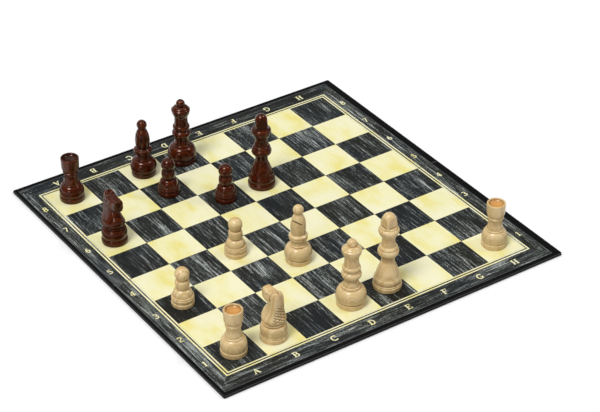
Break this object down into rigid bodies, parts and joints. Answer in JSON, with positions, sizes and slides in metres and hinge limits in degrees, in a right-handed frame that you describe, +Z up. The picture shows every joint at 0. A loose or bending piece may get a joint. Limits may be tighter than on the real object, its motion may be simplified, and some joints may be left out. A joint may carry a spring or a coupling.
{
  "type": "folding chess board with men",
  "caption": "Folding chess board of greyboard wrapped in leatherette with a printed playing face, lying open with turned wooden men on its squares",
  "frame": {"origin": "on the surface the board lies on, under the middle of the fold", "axes": "+X along the ranks from file A to file H, +Y along the files from rank 1 to rank 8, +Z up"},
  "size_m": [0.366, 0.372, 0.0811],
  "materials": {
    "leatherette": "fine grained black leatherette, satin",
    "greyboard": "raw greyboard",
    "dark_print": "printed paper, charcoal with fine streaks, light sheen",
    "cream_ink": "printed paper, pale cream yellow, light sheen",
    "crease": "creased leatherette lining",
    "light_wood": "natural light wood, clear varnish",
    "dark_wood": "dark red-brown stain under gloss lacquer"
  },
  "bodies": {
    "front_leaf": {"front_core": "greyboard", "front_cover": "leatherette", "front_sheet": "dark_print", "front_print": "cream_ink", "fold_crease": "crease"},
    "rear_leaf": {"rear_core": "greyboard", "rear_cover": "leatherette", "rear_sheet": "dark_print", "rear_print": "cream_ink"},
    "light_rook_a1": {"light_rook_a1": "light_wood"},
    "light_knight": {"light_knight_base": "light_wood", "light_knight_head": "light_wood"},
    "light_queen": {"light_queen": "light_wood"},
    "light_king": {"light_king": "light_wood"},
    "light_rook_h1": {"light_rook_h1": "light_wood"},
    "light_bishop": {"light_bishop": "light_wood"},
    "light_pawn_a3": {"light_pawn_a3": "light_wood"},
    "light_pawn_c4": {"light_pawn_c4": "light_wood"},
    "dark_rook": {"dark_rook": "dark_wood"},
    "dark_bishop": {"dark_bishop": "dark_wood"},
    "dark_queen": {"dark_queen": "dark_wood"},
    "dark_king": {"dark_king": "dark_wood"},
    "dark_pawn_c7": {"dark_pawn_c7": "dark_wood"},
    "dark_pawn_d6": {"dark_pawn_d6": "dark_wood"},
    "dark_knight": {"dark_knight_base": "dark_wood", "dark_knight_head": "dark_wood"}
  },
  "joints": [
    {"name": "fold", "type": "hinge", "parent": "front_leaf", "child": "rear_leaf", "pos_m": [0, 0, 0.00256], "axis": [1, 0, 0], "range_deg": [0, 180]},
    {"name": "light_rook_a1_lift", "type": "slide", "parent": "front_leaf", "child": "light_rook_a1", "axis": [0, 0, 1], "range_m": [0, 0.57]},
    {"name": "light_knight_lift", "type": "slide", "parent": "front_leaf", "child": "light_knight", "axis": [0, 0, 1], "range_m": [0, 0.57]},
    {"name": "light_queen_lift", "type": "slide", "parent": "front_leaf", "child": "light_queen", "axis": [0, 0, 1], "range_m": [0, 0.57]},
    {"name": "light_king_lift", "type": "slide", "parent": "front_leaf", "child": "light_king", "axis": [0, 0, 1], "range_m": [0, 0.57]},
    {"name": "light_rook_h1_lift", "type": "slide", "parent": "front_leaf", "child": "light_rook_h1", "axis": [0, 0, 1], "range_m": [0, 0.57]},
    {"name": "light_bishop_lift", "type": "slide", "parent": "front_leaf", "child": "light_bishop", "axis": [0, 0, 1], "range_m": [0, 0.57]},
    {"name": "light_pawn_a3_lift", "type": "slide", "parent": "front_leaf", "child": "light_pawn_a3", "axis": [0, 0, 1], "range_m": [0, 0.57]},
    {"name": "light_pawn_c4_lift", "type": "slide", "parent": "front_leaf", "child": "light_pawn_c4", "axis": [0, 0, 1], "range_m": [0, 0.57]},
    {"name": "dark_rook_lift", "type": "slide", "parent": "front_leaf", "child": "dark_rook", "axis": [0, 0, 1], "range_m": [0, 0.57]},
    {"name": "dark_bishop_lift", "type": "slide", "parent": "front_leaf", "child": "dark_bishop", "axis": [0, 0, 1], "range_m": [0, 0.57]},
    {"name": "dark_queen_lift", "type": "slide", "parent": "front_leaf", "child": "dark_queen", "axis": [0, 0, 1], "range_m": [0, 0.57]},
    {"name": "dark_king_lift", "type": "slide", "parent": "front_leaf", "child": "dark_king", "axis": [0, 0, 1], "range_m": [0, 0.57]},
    {"name": "dark_pawn_c7_lift", "type": "slide", "parent": "front_leaf", "child": "dark_pawn_c7", "axis": [0, 0, 1], "range_m": [0, 0.57]},
    {"name": "dark_pawn_d6_lift", "type": "slide", "parent": "front_leaf", "child": "dark_pawn_d6", "axis": [0, 0, 1], "range_m": [0, 0.57]},
    {"name": "dark_knight_lift", "type": "slide", "parent": "front_leaf", "child": "dark_knight", "axis": [0, 0, 1], "range_m": [0, 0.57]}
  ],
  "couplings": [
    {"joint": "light_rook_a1_lift", "follows": "fold", "m_per_rad": 0.18},
    {"joint": "light_knight_lift", "follows": "fold", "m_per_rad": 0.18},
    {"joint": "light_queen_lift", "follows": "fold", "m_per_rad": 0.18},
    {"joint": "light_king_lift", "follows": "fold", "m_per_rad": 0.18},
    {"joint": "light_rook_h1_lift", "follows": "fold", "m_per_rad": 0.18},
    {"joint": "light_bishop_lift", "follows": "fold", "m_per_rad": 0.18},
    {"joint": "light_pawn_a3_lift", "follows": "fold", "m_per_rad": 0.18},
    {"joint": "light_pawn_c4_lift", "follows": "fold", "m_per_rad": 0.18},
    {"joint": "dark_rook_lift", "follows": "fold", "m_per_rad": 0.18},
    {"joint": "dark_bishop_lift", "follows": "fold", "m_per_rad": 0.18},
    {"joint": "dark_queen_lift", "follows": "fold", "m_per_rad": 0.18},
    {"joint": "dark_king_lift", "follows": "fold", "m_per_rad": 0.18},
    {"joint": "dark_pawn_c7_lift", "follows": "fold", "m_per_rad": 0.18},
    {"joint": "dark_pawn_d6_lift", "follows": "fold", "m_per_rad": 0.18},
    {"joint": "dark_knight_lift", "follows": "fold", "m_per_rad": 0.18}
  ]
}
